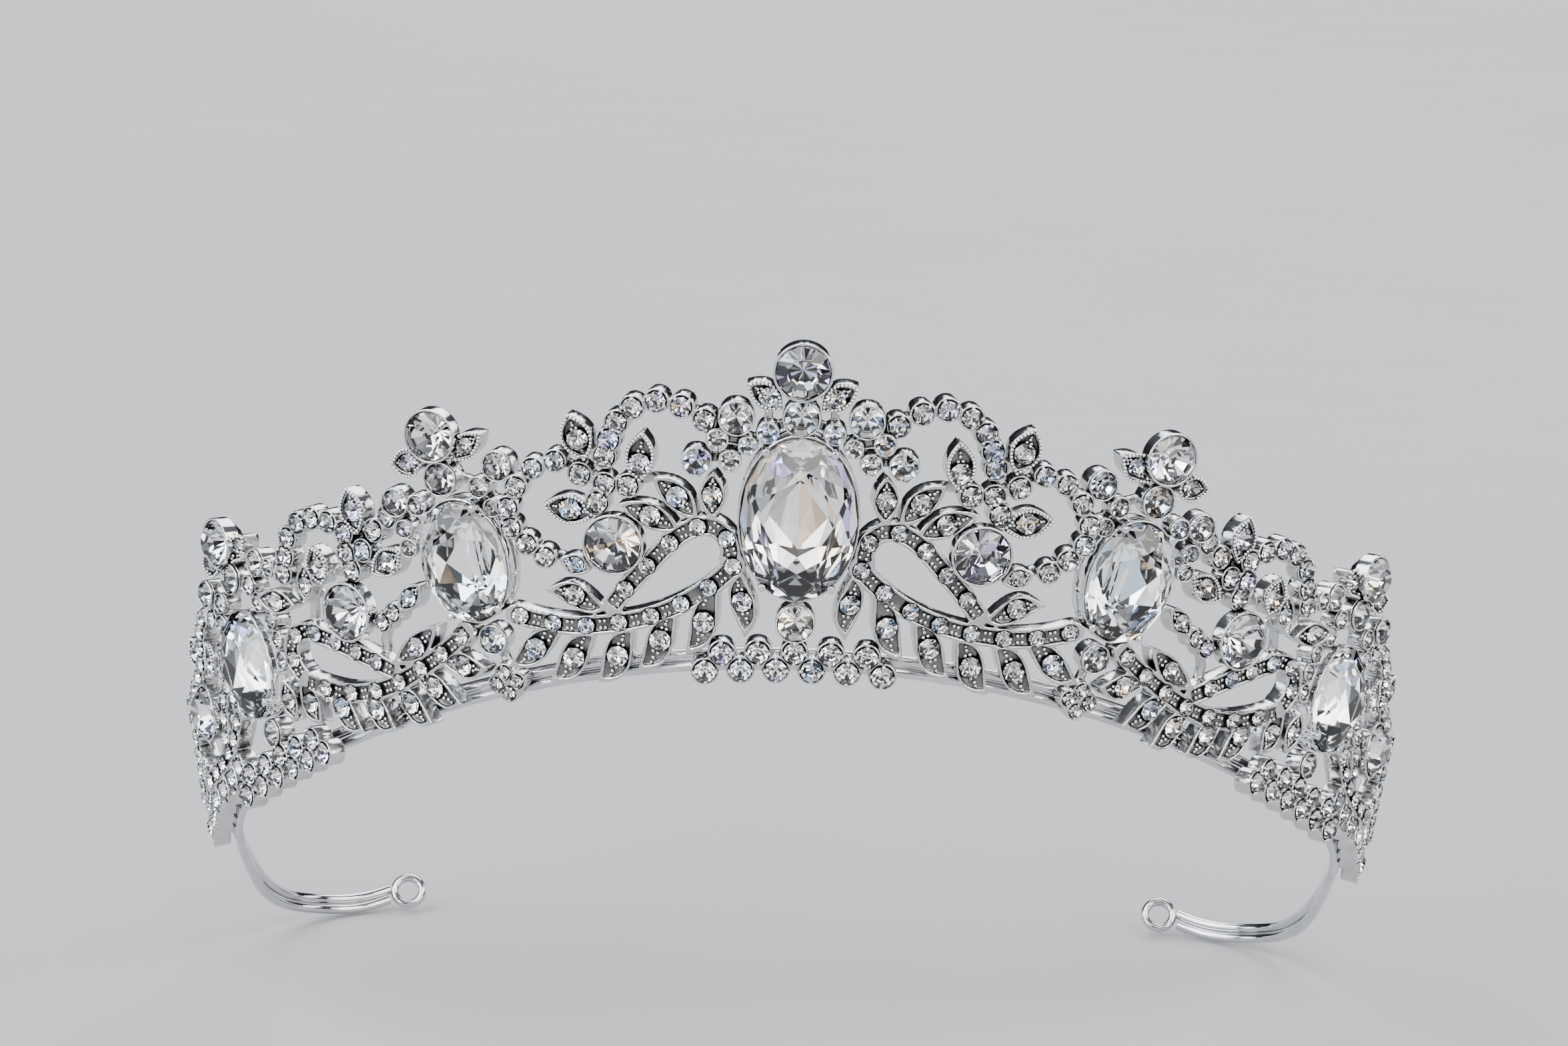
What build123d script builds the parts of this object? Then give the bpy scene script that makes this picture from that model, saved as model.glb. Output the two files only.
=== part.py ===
from build123d import *
import os
from math import atan2, cos, degrees, pi, radians, sin

# Bridal tiara: cast, stone-set motifs soldered side by side on two band wires. Millimetres, +Z up.
#
# The band wires follow a ring that lies in a plane tilted front-up, the way a tiara sits on a head.
# The motifs stand on the ring and lean outwards. A point on that leaning shell is given by
# s, the distance along the ring from the middle of the front (wearer's left is positive),
# v, the height up the shell, and n, the distance out from the shell's middle surface.
# Each motif is flat: it lies in the plane that touches the shell at the motif's own s.

# ---- driving dimensions -------------------------------------------------------------------------
RING_RADIUS = 65.7          # band ring, to the middle of the motifs
BAND_PITCH = 35.0           # tilt of the ring's plane, front up, in degrees
FRONT_LEAN = 39.8           # outward lean of the shell at the front, from the ring's axis
LEAN_DROP = 20.4            # how much less it leans at LEAN_AT
LEAN_AT = 70.0
LEAN_LIMIT = 74.0           # past this s the lean stays the same

BACK = -1.1                 # n of a casting's back
FACE = 0.9                  # n of its front face
WEB_FACE = -0.3             # n of the thin webs that join its cups
MILGRAIN_RIM = 0.4          # metal left around the pocket of a beaded leaf
LEAF_RIM = 0.3              # and of a plain one
CUP_RIM = 0.2               # metal left around a crest stone
CLAW_RIM = 0.3              # and around a claw-set one
POCKET_DEPTH = 0.35         # sunk floor of a leaf or channel
GRAIN_HEIGHT = 0.35         # milgrain wire on top of a leaf's edge
WEB_WIDTH = 0.9
CHANNEL_WIDTH = 2.2
CHANNEL_FLOOR = 1.45
OVERSHOOT = 1.0             # how far cutting tools run past a face
ROOM_BEHIND = 0.2           # space kept clear behind a motif, for its neighbours' sake
ROOM_IN_FRONT = 0.8

WIRE_RADIUS = 0.6
WIRE_N = BACK - WIRE_RADIUS # the wires touch the backs of the castings
WIRE_PITCH = 1.3            # distance between the two wires
EYE_RADIUS = 2.2            # outside of the end loops
EYE_HOLE = 1.2
EYE_THICKNESS = 1.2

CHAIN_STONE = 2.15
CHANNEL_STONE = 1.85
LEAF_STONE = 2.35
BITE = 0.1                  # how much wider than its pocket a leaf's stone may be
HANDLE = 0.3                # where the edge curves' control points stand, as a share of a leaf's length
BULGE = 0.75                # how far a cubic curve's middle follows its two control points
HANGING_CURL = 1.2          # curl of the leaves that hang from a panel
ROW_STONE = 2.4
FLOWER_STONE = 1.5
PANEL_ROUND = 6.0

PAVILION = 0.40             # depths of a cut stone, as shares of its diameter
OVAL_PAVILION = 0.32        # and of an oval one, as a share of its width
GIRDLE = 0.06
CROWN = 0.17
TABLE = 0.58
KEEL = 0.12                 # half width of an oval stone's blunt keel, as a share of its width
PLAY = 0.03                 # between a stone and its recess
SAME_PLACE = 0.01           # two stones closer than this are one stone
SEAT_GIRDLE = FACE + 0.05   # n of a cup stone's girdle
SUNK_GIRDLE = FACE - 0.05   # n of the girdle of a stone in a leaf or channel

OVAL_LOW = BACK             # foot of an oval's gallery
OVAL_GIRDLE = 1.6
OVAL_WALL = 0.3
OVAL_LEDGE = 0.25           # how far the rails reach in under the stone
OVAL_EDGE = 0.12            # how far the upper rail stands above the girdle's foot
UPPER_RAIL = 0.8
LOWER_RAIL = 0.8
OVAL_GAP = 1.1              # how much wider than the stone the castings stay clear of an oval
POSTS = 8
POST_RADIUS = 0.3
CLAW_RADIUS = 0.42
CLAW_OUT = 0.15             # claw's middle outside the girdle
CLAW_TURN = radians(55)     # place of the claws round the oval
CLAW_HEIGHT = 1.1

CUP_WALL = 0.32
CUP_LOW = BACK
CUP_FLOOR = 0.5             # thickness of the foot
CUP_FLARE = 1.2             # height at which the cup reaches its full width
CUP_EDGE = 0.25             # how far the wall stands above the girdle's foot
CUP_LEDGE = 0.3             # and how far below it the seat starts
CUP_FOOT = 0.7              # radius of the foot, as a share of the stone's
CUP_BOWL = 0.55             # radius of the bowl's floor, likewise
CUP_GAP = 0.4               # between a cup's stone and the castings round it
TOP_GIRDLE = 1.5            # n of the girdle of a crest's top stone
PANEL_GIRDLE = 1.5          # and of a panel's round stone
LOW = (Align.CENTER, Align.CENTER, Align.MIN)

# each crest's oval (s, v, width, height) and the top stone over it (s, v, diameter)
CRESTS = {
    "centre": ((0, 17.0, 12.2, 17.6), (0, 32.8, 5.7)),
    "middle": ((31.9, 14.2, 9.8, 13.2), (32.2, 28.0, 5.3)),
    "side": ((67, 10.3, 8.8, 12.0), (67.1, 24.6, 5.0)),
}
# s and v of each panel's large round stone
PANEL_ROUNDS = {"inner_panel": (16.9, 14.4), "outer_panel": (47.9, 11.4), "end_panel": (82.6, 9.6)}

# ---- the shell ----------------------------------------------------------------------------------


def lean(s):
    return radians(FRONT_LEAN - LEAN_DROP * (min(abs(s), LEAN_LIMIT) / LEAN_AT) ** 2)


def shell(s, v, n=0.0):
    """Point of the shell in the ring's own frame."""
    turn, tilt = s / RING_RADIUS, lean(s)
    out = RING_RADIUS + v * sin(tilt) + n * cos(tilt)
    return Vector(out * sin(turn), -out * cos(turn), v * cos(tilt) - n * sin(tilt))


def outward(s):
    turn, tilt = s / RING_RADIUS, lean(s)
    return Vector(cos(tilt) * sin(turn), -cos(tilt) * cos(turn), -sin(tilt))


class Facet:
    """The plane that touches the shell at s: x runs along the band, y up the shell, z outwards."""

    def __init__(self, s):
        turn = s / RING_RADIUS
        self.plane = Plane(origin=shell(s, 0), x_dir=(cos(turn), sin(turn), 0), z_dir=outward(s))

    def flat(self, s, v):
        point = self.plane.to_local_coords(shell(s, v, FACE))
        return Vector(point.X, point.Y)

    def put(self, solid):
        return self.plane * solid


# ---- outlines, all in a facet's own x and y -----------------------------------------------------


def disc(centre, radius):
    return Pos(centre.X, centre.Y) * Circle(radius)


def leaf_outline(base, tip, width, bend=0.0, curl=0.0):
    """Pointed leaf between two points; bend bows it to one side and curl gives it an S shape."""
    along = tip - base
    side = Vector(-along.Y, along.X).normalized()
    edges = []
    for half in (width / 2, -width / 2):
        near = base + along * HANDLE + side * ((half + bend) / BULGE + curl)
        far = tip - along * HANDLE + side * ((half + bend) / BULGE - curl)
        edges.append(Bezier(base, near, far, tip))
    return make_face(edges)


def leaf_inner(base, tip, width, bend, curl, rim):
    """The same leaf with its rim taken off."""
    along = (tip - base).normalized()
    inset = rim * (tip - base).length / width
    return leaf_outline(base + along * inset, tip - along * inset, width - 2 * rim, bend, curl)


def leaf_middle(base, tip, share, bend, curl):
    """Point of a leaf's middle line."""
    along = tip - base
    side = Vector(-along.Y, along.X).normalized()
    aside = 3 * share * (1 - share) * (bend / BULGE + curl * (1 - 2 * share))
    return base + along * share + side * aside


def bar(start, end, width):
    along = end - start
    turned = Rot(0, 0, degrees(atan2(along.Y, along.X)))
    both_ends = disc(start, width / 2) + disc(end, width / 2)
    return Pos(*((start + end) * 0.5)) * turned * Rectangle(along.length, width) + both_ends


def strip(points, width):
    ends = disc(points[0], width / 2) + disc(points[-1], width / 2)
    return trace(Spline(*points), width) + ends


def slab(outline, low, high):
    return Pos(0, 0, low) * extrude(outline, high - low)


# ---- stones -------------------------------------------------------------------------------------


def round_stone(diameter):
    """Round chaton with its girdle's lower edge at z = 0."""
    r = diameter / 2
    girdle, top = GIRDLE * diameter, (GIRDLE + CROWN) * diameter
    profile = [(0, -PAVILION * diameter), (r, 0), (r, girdle), (TABLE * r, top), (0, top)]
    return revolve(Plane.XZ * make_face(Polyline(*profile, close=True)), Axis.Z)


def oval_stone(width, height):
    """Oval chaton with its girdle's lower edge at z = 0."""
    depth, crown, girdle = OVAL_PAVILION * width, CROWN * width, GIRDLE * width
    keel = Pos(0, 0, -depth) * Ellipse(KEEL * width, KEEL * height + (height - width) / 2)
    edge = Ellipse(width / 2, height / 2)
    table = Pos(0, 0, girdle + crown) * Ellipse(TABLE * width / 2, TABLE * height / 2)
    pavilion = loft([keel.face(), edge.face()])
    top = loft([(Pos(0, 0, girdle) * edge).face(), table.face()])
    return pavilion + extrude(edge, girdle) + top


def seat(centre, diameter, girdle_n):
    """Recess for a round stone: straight wall, flat floor just under the culet."""
    low = girdle_n - PAVILION * diameter - PLAY
    return slab(disc(centre, diameter / 2 + PLAY), low, FACE + OVERSHOOT)


# ---- settings made apart from the castings ------------------------------------------------------


def round_cup(diameter, low, girdle_n):
    """Deep open cup: a ring wall, a seat inside it and a solid foot."""
    r, wall = diameter / 2, CUP_WALL
    foot = low + CUP_FLOOR
    top = girdle_n + CUP_EDGE
    profile = [(0, low), (r * CUP_FOOT, low), (r + wall, low + CUP_FLARE), (r + wall, top),
               (r + PLAY, top), (r + PLAY, girdle_n - CUP_LEDGE), (r * CUP_BOWL, foot), (0, foot)]
    ring = revolve(Plane.XZ * make_face(Polyline(*profile, close=True)), Axis.Z)
    return ring - Pos(0, 0, girdle_n - PLAY) * round_stone(diameter)


def oval_ring(width, height, low, high):
    outer = Ellipse(width / 2 + OVAL_WALL, height / 2 + OVAL_WALL)
    return slab(outer - Ellipse(width / 2 - OVAL_LEDGE, height / 2 - OVAL_LEDGE), low, high)


def pin(x, y, radius, low, high):
    return Pos(x, y, low) * Cylinder(radius, high - low, align=LOW)


def oval_setting(width, height):
    """Open gallery: two rails, posts between them, and four claws bent over the girdle."""
    inside = Ellipse(width / 2 + PLAY, height / 2 + PLAY)
    room = slab(inside, OVAL_GIRDLE, OVAL_GIRDLE + OVERSHOOT)
    body = oval_ring(width, height, OVAL_GIRDLE - UPPER_RAIL, OVAL_GIRDLE + OVAL_EDGE) - room
    body += oval_ring(width, height, OVAL_LOW, OVAL_LOW + LOWER_RAIL)
    for corner in range(POSTS):
        turn = (corner + 0.5) * 2 * pi / POSTS
        body += pin(width / 2 * cos(turn), height / 2 * sin(turn), POST_RADIUS, OVAL_LOW,
                    OVAL_GIRDLE - UPPER_RAIL / 2)
    for x_side, y_side in ((-1, -1), (-1, 1), (1, -1), (1, 1)):
        x = x_side * (width / 2 + CLAW_OUT) * cos(CLAW_TURN)
        y = y_side * (height / 2 + CLAW_OUT) * sin(CLAW_TURN)
        body += pin(x, y, CLAW_RADIUS, OVAL_LOW, OVAL_GIRDLE + CLAW_HEIGHT)
    return body - Pos(0, 0, OVAL_GIRDLE) * oval_stone(width + 2 * PLAY, height + 2 * PLAY)


# ---- castings -----------------------------------------------------------------------------------


class Casting:
    """One flat cast motif: leaves, cups, channels and webs, with the stones that sit in them."""

    def __init__(self, s, sides=(1,)):
        self.facet = Facet(s)
        self.sides = sides
        self.outlines, self.webs, self.pockets, self.seats = [], [], [], []
        self.grain, self.keep_out = [], []
        self.stones = {}

    def spots(self, places):
        """The same places on each side of the motif that it is made for."""
        for side in self.sides:
            yield [self.facet.flat(side * s, v) for s, v in places]

    def set_stone(self, kind, centre, diameter, girdle_n):
        if not any((centre - old).length < SAME_PLACE for old, _ in self.seats):
            self.seats.append((centre, seat(centre, diameter, girdle_n)))
            stone = Pos(centre.X, centre.Y, girdle_n) * round_stone(diameter)
            self.stones.setdefault(kind, []).append(stone)

    def cups(self, places, diameter, kind):
        rim = CUP_RIM if kind == "round_stones" else CLAW_RIM
        for place in places:
            for (centre,) in self.spots([place]):
                self.outlines.append(disc(centre, diameter / 2 + rim))
                self.set_stone(kind, centre, diameter, SEAT_GIRDLE)

    def leaf(self, base, tip, width, bend=0.0, curl=0.0, stone_at=0.45, milgrain=False):
        rim = MILGRAIN_RIM if milgrain else LEAF_RIM
        for side, (low, high) in zip(self.sides, self.spots([base, tip])):
            shape = bend * side, curl * side
            outline = leaf_outline(low, high, width, *shape)
            pocket = leaf_inner(low, high, width, *shape, rim)
            self.outlines.append(outline)
            self.pockets.append(pocket)
            if milgrain:
                self.grain.append(outline - pocket)
            centre = leaf_middle(low, high, stone_at, *shape)
            self.set_stone("leaf_stones", centre, min(LEAF_STONE, width - 2 * rim + BITE), SUNK_GIRDLE)

    def web(self, *places):
        for line in self.spots(places):
            self.webs += [bar(start, end, WEB_WIDTH) for start, end in zip(line, line[1:])]

    def channel(self, places, count, first=0.04, last=0.96):
        for line in self.spots(places):
            self.outlines.append(strip(line, CHANNEL_WIDTH))
            self.pockets.append(trace(Spline(*line), CHANNEL_FLOOR))
            middle = Spline(*line)
            for i in range(count):
                at = middle @ (first + (last - first) * i / (count - 1))
                self.set_stone("channel_stones", at, CHANNEL_STONE, SUNK_GIRDLE)

    def leave_round(self, place, radius):
        self.keep_out.append(disc(self.facet.flat(*place), radius))

    def leave_crest(self, name):
        """Room for a crest's oval and for the stone at its top."""
        (s, v, width, height), (top_s, top_v, top_size) = CRESTS[name]
        centre = self.facet.flat(s, v)
        oval = Ellipse((width + OVAL_GAP) / 2, (height + OVAL_GAP) / 2)
        self.keep_out.append(Pos(centre.X, centre.Y) * oval)
        self.leave_round((top_s, top_v), top_size / 2 + CUP_GAP)

    def whole(self, shapes):
        return (Sketch() + shapes) - self.keep_out if self.keep_out else Sketch() + shapes

    def body(self):
        front = self.whole(self.outlines)
        back = self.whole(self.outlines + self.webs)
        body = slab(back, BACK, WEB_FACE) + slab(front, WEB_FACE, FACE)
        floor = FACE - POCKET_DEPTH
        tools = [slab(self.whole([shape]), floor, FACE + OVERSHOOT) for shape in self.pockets]
        tools += [tool for _, tool in self.seats]
        return self.facet.put(body - tools)

    def room(self):
        """Everything that the motif takes up, for its neighbours to keep out of."""
        outline = self.whole(self.outlines + self.webs)
        return self.facet.put(slab(outline, BACK - ROOM_BEHIND, FACE + ROOM_IN_FRONT))

    def rims(self):
        """Milgrain wires on the leaves' edges, broken where a stone is in the way."""
        stones = [disc(centre, LEAF_STONE / 2 + BITE) for centre, _ in self.seats]
        rims = [slab(edge - self.keep_out - stones, FACE, FACE + GRAIN_HEIGHT) for edge in self.grain]
        return [self.facet.put(solid) for rim in rims for solid in rim.solids()]

    def notched(self, setting):
        """A setting with room filed out for the motif's own stones."""
        return setting - [self.facet.put(tool) for _, tool in self.seats]

    def set_stones(self):
        return {kind: [self.facet.put(stone) for stone in stones] for kind, stones in self.stones.items()}


def centre_crest():
    motif = Casting(0, sides=(1, -1))
    motif.leave_crest("centre")
    motif.cups([(0, 27.7)], 3.7, "round_stones")
    motif.cups([(5.3, 27.7)], 3.5, "round_stones")
    motif.cups([(8.75, 23.2)], 2.9, "round_stones")
    motif.cups([(2.75, 26.1), (5.95, 23.1), (6.95, 25.4)], 2.1, "round_stones")
    motif.cups([(4.4, 24.7)], 1.8, "round_stones")
    motif.leaf((1.6, 28.6), (4.4, 31.4), 2.8, bend=0.2, stone_at=0.42, milgrain=True)
    motif.web((0, 27.4), (2.75, 26.1), (5.95, 23.1), (8.75, 23.2))
    motif.web((0, 27.4), (0, 30))
    motif.web((4.4, 24.7), (6.95, 25.4))
    motif.web((2.75, 26.1), (2.6, 29.5))
    motif.web((5.3, 27.7), (4.4, 24.7))
    return motif


def base_row(s, upper_v, lower_v, round_v, round_stone_size):
    """Zigzag of claw-set stones along the band under a crest, with the round stone above it."""
    motif = Casting(s)
    upper = [(s + 3.7 * i, upper_v) for i in range(-2, 3)]
    lower = [(s + 3.7 * (i + 0.5), lower_v) for i in range(-3, 3)]
    motif.cups(upper + lower, ROW_STONE, "row_stones")
    row = sorted(upper + lower)
    motif.web(*row)
    motif.cups([(s, round_v)], round_stone_size, "round_stones")
    motif.web((s, upper_v), (s, round_v))
    return motif


def inner_panel():
    motif = Casting(16.5)
    motif.leave_round(PANEL_ROUNDS["inner_panel"], PANEL_ROUND / 2 + CUP_GAP)
    motif.cups([(7.9, 27.4), (9.75, 28.9), (11.8, 29.5), (13.85, 28.9), (15.3, 27.4), (16.15, 25.6),
                (16.7, 23.8)], CHAIN_STONE, "chain_stones")
    motif.cups([(15.0, 20.5), (17.05, 20.8), (19.1, 22.1), (17.9, 18.9)], CHAIN_STONE, "chain_stones")
    motif.cups([(21.1, 23.8), (23.2, 23.3), (25.0, 21.6), (26.2, 19.5), (26.3, 17.3), (25.2, 15.3),
                (23.7, 13.6)], 2.0, "chain_stones")
    motif.leaf((18.4, 23.5), (19.3, 28.7), 3.5, stone_at=0.45, milgrain=True)
    motif.leaf((14.1, 20.7), (13.2, 26.3), 3.2, stone_at=0.38, milgrain=True)
    motif.leaf((18.2, 17.6), (22.9, 19.3), 3.3, stone_at=0.5, milgrain=True)
    motif.leaf((7.7, 16.6), (7.4, 22.0), 2.7, stone_at=0.5)
    motif.leaf((9.0, 16.6), (12.7, 21.4), 2.9, bend=0.25, stone_at=0.5)
    motif.leaf((10.6, 15.4), (16.1, 18.6), 2.8, bend=0.2, stone_at=0.5)
    motif.leaf((19.5, 11.6), (22.4, 13.2), 2.3, stone_at=0.5)
    motif.leaf((18.6, 7.2), (24.3, 9.9), 2.7, bend=0.4, curl=-1.0, stone_at=0.55)
    motif.leaf((5.2, 11.4), (4.9, 3.9), 2.7, curl=0.9, stone_at=0.48)
    motif.leaf((7.3, 9.3), (11.2, 1.8), 2.9, bend=-0.2, curl=HANGING_CURL, stone_at=0.5)
    motif.leaf((11.6, 6.5), (16.4, 0.2), 3.0, bend=-0.2, curl=HANGING_CURL, stone_at=0.46)
    motif.leaf((16.2, 5.0), (20.8, -0.7), 3.2, bend=-0.2, curl=HANGING_CURL, stone_at=0.5)
    motif.leaf((20.1, 4.8), (26.0, 0.0), 3.1, bend=-0.1, curl=HANGING_CURL, stone_at=0.5)
    motif.leaf((23.3, 5.6), (30.0, 2.4), 2.9, curl=0.9, stone_at=0.52)
    motif.channel([(6.2, 12.4), (6.3, 14.4), (7.5, 15.8), (9.2, 15.8), (11.2, 14.6), (13.4, 12.4),
                   (15.6, 10.2), (18.0, 7.6)], 5, first=0.12, last=0.88)
    motif.channel([(5.6, 12.0), (7.0, 10.4), (9.2, 8.6), (11.8, 7.1), (15.0, 6.0), (18.4, 5.6),
                   (21.7, 5.7), (24.9, 6.5), (27.9, 7.9)], 8, first=0.02, last=0.98)
    motif.web((7.9, 27.4), (9.75, 28.9), (11.8, 29.5))
    motif.web((16.7, 23.8), (17.05, 20.8), (19.1, 22.1), (21.1, 23.8), (23.2, 23.3), (25.0, 21.6))
    motif.web((12.7, 21.0), (15.0, 20.5), (17.05, 20.8), (17.9, 18.9), (18.4, 17.0))
    motif.web((19.1, 22.1), (18.6, 24.2))
    motif.web((22.4, 13.2), (23.7, 13.6))
    motif.web((25.0, 21.6), (26.2, 19.5), (26.3, 17.3), (25.2, 15.3), (23.7, 13.6))
    motif.web((15.0, 20.5), (15.4, 18.0))
    return motif


def middle_crest():
    motif = Casting(32.1)
    motif.leave_crest("middle")
    motif.cups([(32.5, 23.2)], 3.5, "round_stones")
    motif.cups([(26.8, 23.7)], 3.1, "round_stones")
    motif.cups([(37.6, 21.7)], 2.9, "round_stones")
    motif.cups([(29.0, 21.7), (35.5, 20.9)], 2.1, "round_stones")
    motif.cups([(28.1, 19.3), (37.5, 18.7), (37.6, 16.6)], 1.8, "round_stones")
    motif.leaf((31.2, 24.9), (27.6, 27.3), 2.7, bend=-0.2, stone_at=0.5, milgrain=True)
    motif.leaf((33.9, 24.9), (37.0, 25.9), 2.7, bend=0.2, stone_at=0.45, milgrain=True)
    motif.web((26.8, 23.7), (29.0, 21.7), (32.5, 23.5), (35.5, 20.9), (37.6, 21.7))
    motif.web((30.4, 25.2), (32.5, 23.5), (34.6, 25.2))
    motif.web((32.5, 23.5), (32.3, 26.0))
    motif.web((29.0, 21.7), (28.1, 19.3), (29.0, 17.5))
    motif.web((37.6, 21.7), (37.5, 18.7), (37.6, 16.6), (36.0, 15.0))
    return motif


def band_flower():
    motif = Casting(31.2)
    motif.cups([(30.0, 0.3), (32.4, 0.3), (31.2, 1.45), (31.2, -0.85)], FLOWER_STONE, "flower_stones")
    motif.web((30.0, 0.3), (32.4, 0.3))
    motif.cups([(31.4, 5.2)], 3.0, "round_stones")
    motif.web((31.2, 1.45), (31.4, 5.2))
    return motif


def outer_panel():
    motif = Casting(48.5)
    motif.leave_round(PANEL_ROUNDS["outer_panel"], PANEL_ROUND / 2 + CUP_GAP)
    motif.cups([(40.0, 20.2), (42.0, 19.1), (44.1, 17.3), (46.2, 17.5), (45.7, 19.7), (46.1, 15.5)],
               CHAIN_STONE, "chain_stones")
    motif.cups([(47.3, 21.3), (49.1, 22.2), (51.0, 22.2), (52.8, 21.1), (53.9, 19.3), (54.9, 17.6)],
               2.1, "chain_stones")
    motif.cups([(42.5, 10.0), (44.2, 9.3)], 1.8, "chain_stones")
    motif.leaf((44.1, 19.0), (43.7, 24.3), 3.3, stone_at=0.5, milgrain=True)
    motif.leaf((43.6, 14.6), (39.3, 16.3), 3.2, stone_at=0.5, milgrain=True)
    motif.leaf((50.2, 14.9), (50.2, 19.4), 3.0, stone_at=0.42, milgrain=True)
    motif.leaf((53.2, 13.6), (51.9, 18.0), 2.4, stone_at=0.45)
    motif.leaf((54.8, 13.8), (59.6, 16.4), 2.7, stone_at=0.5)
    motif.leaf((41.8, 10.0), (38.0, 12.4), 2.4, stone_at=0.5)
    motif.leaf((44.4, 4.6), (37.2, 7.8), 2.7, bend=0.3, stone_at=0.5)
    motif.leaf((38.0, 3.6), (31.9, 2.5), 2.8, curl=-0.8, stone_at=0.5)
    motif.leaf((42.0, 2.7), (36.4, -1.1), 2.9, curl=-HANGING_CURL, stone_at=0.42)
    motif.leaf((45.4, 1.8), (41.3, -2.6), 2.9, curl=-HANGING_CURL, stone_at=0.42)
    motif.leaf((50.2, 2.2), (46.7, -2.4), 2.9, curl=-HANGING_CURL, stone_at=0.42)
    motif.leaf((54.9, 4.0), (51.4, -1.7), 2.9, curl=-HANGING_CURL, stone_at=0.42)
    motif.leaf((58.0, 6.0), (57.0, 0.6), 2.7, curl=-0.8, stone_at=0.5)
    motif.leaf((60.2, 7.0), (60.6, 2.0), 2.4, stone_at=0.5)
    motif.channel([(33.6, 6.7), (36.2, 5.2), (39.8, 3.8), (43.2, 2.8), (46.8, 2.3), (50.4, 2.6),
                   (53.6, 3.7), (56.8, 5.6)], 7, first=0.04, last=0.9)
    motif.channel([(44.6, 3.8), (46.8, 5.4), (49.0, 7.0), (51.2, 8.6), (53.2, 10.0), (55.0, 10.9),
                   (56.8, 10.4), (57.6, 8.6), (57.2, 6.6)], 6, first=0.14, last=0.9)
    motif.web((42.0, 19.1), (44.1, 17.3), (46.2, 17.5), (46.2, 15.3), (43.6, 14.8))
    motif.web((44.1, 17.3), (44.0, 20.0))
    motif.web((46.2, 17.5), (45.7, 19.7), (47.3, 21.3))
    motif.web((46.2, 15.3), (46.8, 13.8))
    motif.web((46.2, 15.3), (50.2, 16.0), (52.4, 16.2), (54.9, 17.6), (55.2, 14.4))
    motif.web((52.8, 14.8), (50.6, 13.0))
    motif.web((53.2, 13.8), (54.4, 10.9))
    motif.web((44.2, 9.3), (45.6, 7.4), (46.0, 5.2))
    motif.web((57.6, 8.0), (60.2, 6.6))
    return motif


def side_crest():
    motif = Casting(67)
    motif.leave_crest("side")
    motif.cups([(67.1, 20.3)], 3.3, "round_stones")
    motif.cups([(61.7, 20.4), (72.5, 20.4)], 2.8, "round_stones")
    motif.cups([(64.0, 18.5), (70.2, 18.5), (63.0, 16.3), (71.2, 16.3)], 2.0, "round_stones")
    motif.cups([(59.6, 19.2), (57.6, 18.6)], 1.9, "round_stones")
    motif.leaf((65.9, 21.7), (62.6, 23.9), 2.6, bend=-0.2, stone_at=0.55, milgrain=True)
    motif.leaf((68.3, 21.7), (71.6, 23.9), 2.6, bend=0.2, stone_at=0.55, milgrain=True)
    motif.cups([(61.5, 13.7), (61.1, 11.4), (61.3, 9.1)], 1.8, "round_stones")
    motif.cups([(72.7, 13.7), (73.1, 11.4)], 1.8, "round_stones")
    motif.web((63.0, 16.3), (61.5, 13.7), (61.1, 11.4), (61.3, 9.1))
    motif.web((71.2, 16.3), (72.7, 13.7), (73.1, 11.4))
    motif.web((57.6, 18.6), (59.6, 19.2), (61.7, 20.4), (64.0, 18.5), (67.1, 20.3), (70.2, 18.5),
              (72.5, 20.4))
    motif.web((65.0, 22.3), (67.1, 20.3), (69.2, 22.3))
    motif.web((67.1, 20.3), (67.1, 22.8))
    motif.web((64.0, 18.5), (63.0, 16.3), (63.6, 14.6))
    motif.web((70.2, 18.5), (71.2, 16.3), (70.4, 14.6))
    return motif


def end_panel():
    motif = Casting(82)
    motif.leave_round(PANEL_ROUNDS["end_panel"], PANEL_ROUND / 2 + CUP_GAP)
    motif.cups([(75.0, 18.2), (76.6, 19.3), (78.5, 19.5), (80.2, 18.6), (81.4, 17.1), (82.4, 15.4),
                (84.3, 14.6), (86.2, 14.0), (88.0, 12.8)], 2.0, "chain_stones")
    motif.leaf((83.2, 15.2), (84.2, 19.4), 2.9, stone_at=0.5, milgrain=True)
    motif.leaf((79.4, 12.6), (78.6, 16.8), 2.8, stone_at=0.4, milgrain=True)
    motif.leaf((76.2, 9.9), (75.4, 14.4), 2.5, stone_at=0.5)
    motif.leaf((85.6, 10.6), (89.6, 11.0), 2.6, stone_at=0.5, milgrain=True)
    motif.leaf((78.2, 3.6), (76.4, -0.8), 2.6, stone_at=0.5)
    motif.leaf((81.4, 3.4), (80.2, -1.2), 2.6, stone_at=0.5)
    motif.leaf((85.0, 3.2), (84.4, -1.2), 2.6, stone_at=0.5)
    motif.leaf((88.6, 3.0), (88.6, -1.0), 2.6, stone_at=0.5)
    motif.channel([(73.6, 6.2), (76.0, 4.9), (79.4, 3.9), (83.0, 3.5), (86.6, 3.5), (90.0, 3.6)], 6,
                  first=0.05, last=0.95)
    motif.channel([(73.8, 7.2), (74.2, 9.2), (75.8, 10.3), (77.6, 9.2), (79.1, 7.0), (80.7, 4.8),
                   (81.9, 3.8)], 5, first=0.1, last=0.8)
    motif.web((82.4, 15.4), (79.5, 13.2), (78.0, 9.6))
    motif.web((84.3, 14.6), (83.4, 16.2))
    motif.web((88.0, 12.8), (88.0, 11.0))
    return motif


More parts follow.
